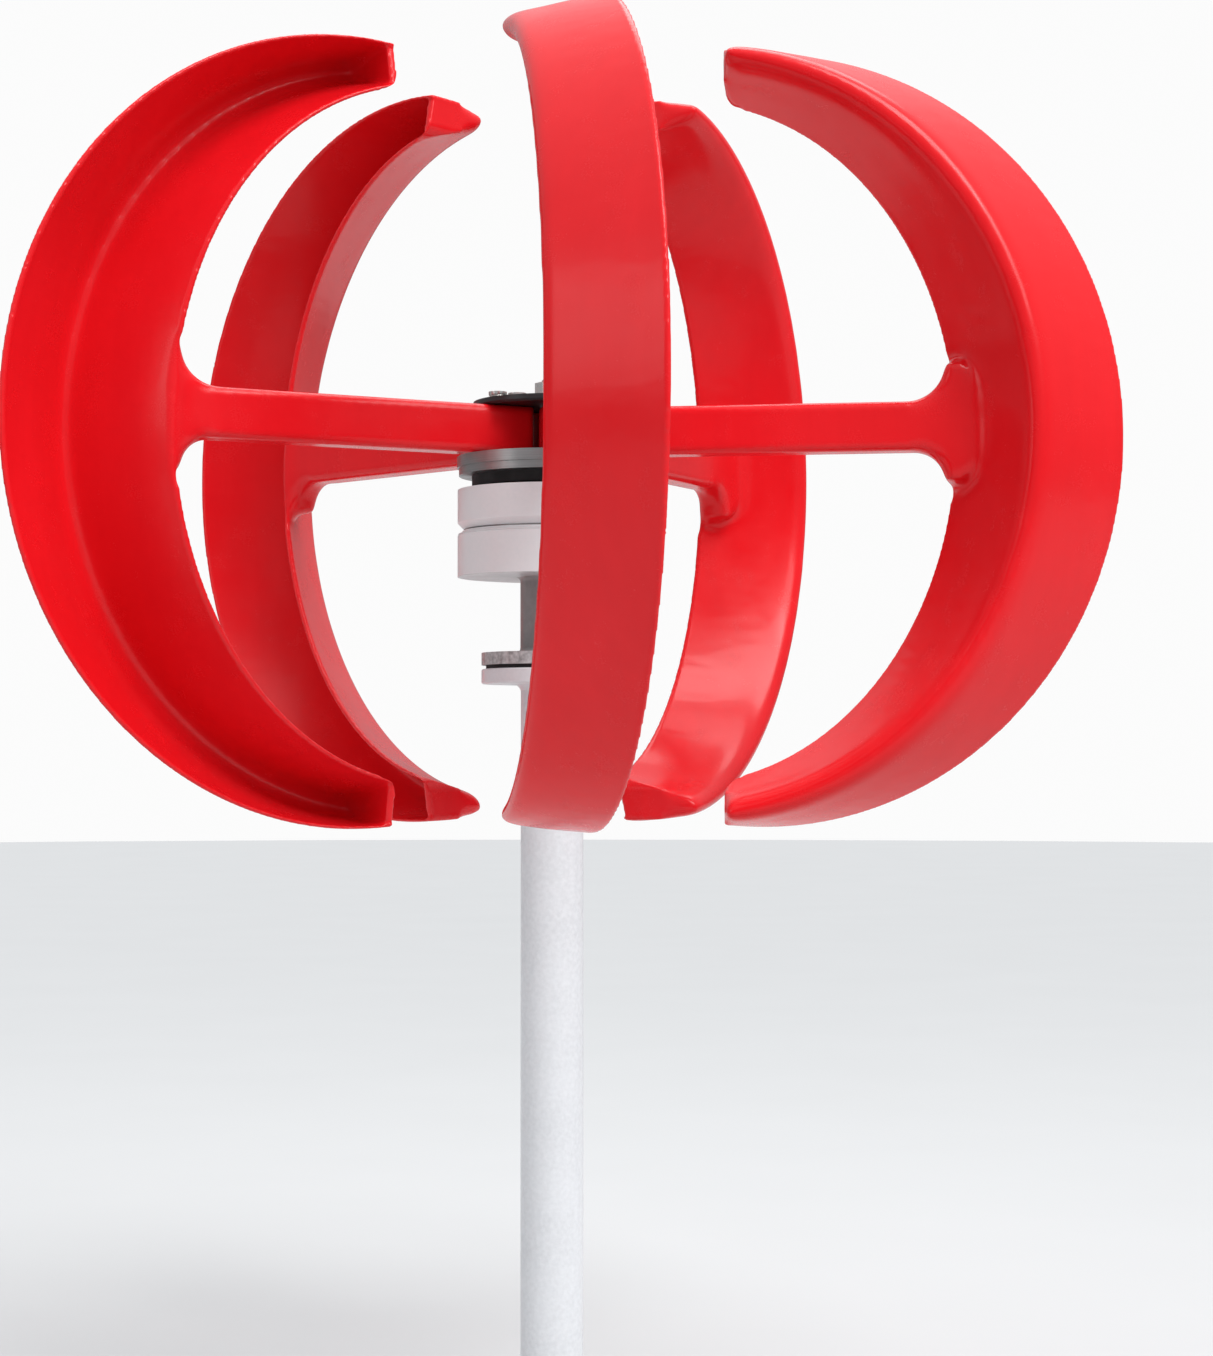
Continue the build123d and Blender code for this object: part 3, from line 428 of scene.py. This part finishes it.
def near_ridge(points):
    """1 on the blade's ridge, falling to 0 at RIDGE_BAND from it."""
    angle = np.radians(np.linspace(-100.0, 100.0, 161))
    ridge = np.column_stack(
        [
            RIDGE_CENTRE[0] + RIDGE_OUT * np.cos(angle),
            RIDGE_CENTRE[1] - RIDGE_SWEEP * (1.0 - np.cos(angle)),
            RIDGE_UP * np.sin(angle),
        ]
    )
    nearest = np.full(len(points), 1.0)
    for place in ridge:
        nearest = np.minimum(nearest, np.linalg.norm(points - place, axis=1))
    return np.clip(1.0 - (nearest / RIDGE_BAND) ** 2, 0.0, 1.0)


def fill_hollows(mesh, points, pairs, rounds, share):
    """Rounds the inside corners only: a point moves where the surface is hollow."""
    loops = np.empty(len(mesh.loops), np.int32)
    mesh.loops.foreach_get("vertex_index", loops)
    quads = loops.reshape(-1, 4)
    count = len(points)
    for _ in range(rounds):
        across = points[quads[:, 2]] - points[quads[:, 0]]
        along = points[quads[:, 3]] - points[quads[:, 1]]
        facing = np.cross(across, along)
        normal = np.zeros_like(points)
        for axis in range(3):
            for corner in range(4):
                normal[:, axis] += np.bincount(quads[:, corner], facing[:, axis], count)
        normal /= np.linalg.norm(normal, axis=1)[:, None] + 1e-12
        step = relax(points, pairs, np.ones(count), 1) - points
        hollow = np.clip((step * normal).sum(axis=1) / HOLLOW_STEP, 0.0, 1.0)
        points = points + RELAX_STEP * (hollow * share)[:, None] * step
    return points


def to_blade(points):
    """From the scene's frame to blade_1's own: X radial, Y chord, Z from the middle."""
    return np.column_stack([-points[:, 1], points[:, 0], points[:, 2] - ROTOR_MIDDLE])


def from_blade(points):
    return np.column_stack([points[:, 1], -points[:, 0], points[:, 2] + ROTOR_MIDDLE])


def round_tips(points):
    """Rounds the corner between each tip's end face and the inner rim."""
    centre_out = TIP_PLANE + TIP_CORNER
    centre_up = INNER_TIP_HEIGHT + TIP_CORNER
    out = centre_out - points[:, 1] * TIP_SLANT - points[:, 0]
    up = centre_up - np.abs(points[:, 2])
    far = np.hypot(out, up)
    moved = (out > 0) & (up > 0) & (far > TIP_CORNER) & (np.abs(points[:, 2]) > TIP_ZONE)
    share = TIP_CORNER / far[moved]
    points = points.copy()
    points[moved, 0] = centre_out - points[moved, 1] * TIP_SLANT - out[moved] * share
    side = np.sign(points[moved, 2])
    points[moved, 2] = side * (centre_up - up[moved] * share)
    return points


def blade_skin():
    """The moulding of blade_1 with the soft edges and blends of a real mould."""
    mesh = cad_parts["blade_1"].data.copy()
    shell = bmesh.new()
    shell.from_mesh(mesh)
    bmesh.ops.remove_doubles(shell, verts=shell.verts, dist=1e-6)
    shell.to_mesh(mesh)
    shell.free()
    work = bpy.data.objects.new("blade_work", mesh)
    scene.collection.objects.link(work)
    remesh = work.modifiers.new("Remesh", "REMESH")
    remesh.mode = "VOXEL"
    remesh.voxel_size = VOXEL
    graph = bpy.context.evaluated_depsgraph_get()
    skin = bpy.data.meshes.new_from_object(work.evaluated_get(graph))
    bpy.data.objects.remove(work)

    points = np.empty(len(skin.vertices) * 3)
    skin.vertices.foreach_get("co", points)
    points = to_blade(points.reshape(-1, 3))
    points = round_tips(points)
    pairs = edge_pairs(skin)
    points = smooth(points, pairs, 8)
    points = relax(points, pairs, RELAX_STEP * near_ridge(points), RIDGE_ROUNDS)
    points = fill_hollows(skin, points, pairs, FILL_ROUNDS, np.ones(len(points)))
    offset = (points - np.array(JOINT_CENTRE)) / np.array(JOINT_REACH)
    joint = np.clip(1.0 - (offset**2).sum(axis=1), 0.0, 1.0)
    points = fill_hollows(skin, points, pairs, JOINT_FILL_ROUNDS, np.sqrt(joint))
    points = relax(points, pairs, RELAX_STEP * np.sqrt(joint), JOINT_RELAX_ROUNDS)
    points = smooth(points, pairs, 12)
    skin.vertices.foreach_set("co", from_blade(points).ravel())
    skin.update()
    skin.shade_smooth()
    return skin


skin = blade_skin()
for number in range(BLADES):
    turned = skin.copy()
    turned.transform(Matrix.Rotation(math.radians(-360.0 / BLADES * number), 4, "Z"))
    turned.materials.clear()
    turned.materials.append(MADE["blade_red"])
    piece = bpy.data.objects.new("blade_skin_%d" % (number + 1), turned)
    scene.collection.objects.link(piece)
    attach(piece, "rotor")
    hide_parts("blade_%d" % (number + 1))

# ---------------------------------------------------------------- floor

FLOOR_RADIUS = 14.0

plane = bmesh.new()
bmesh.ops.create_circle(plane, cap_ends=True, segments=64, radius=FLOOR_RADIUS)
floor_mesh = bpy.data.meshes.new("floor")
plane.to_mesh(floor_mesh)
plane.free()
floor = bpy.data.objects.new("floor", floor_mesh)
scene.collection.objects.link(floor)
pale = Finish("floor_pale")
shade = pale.blend(pale.noise(3.0), rgb(0.54, 0.54, 0.54), rgb(0.56, 0.56, 0.56))
pale.finish(shade, 0.9, pale.bump(pale.noise(60.0), 0.03, 0.001), specular=0.0)
floor_mesh.materials.append(pale.material)
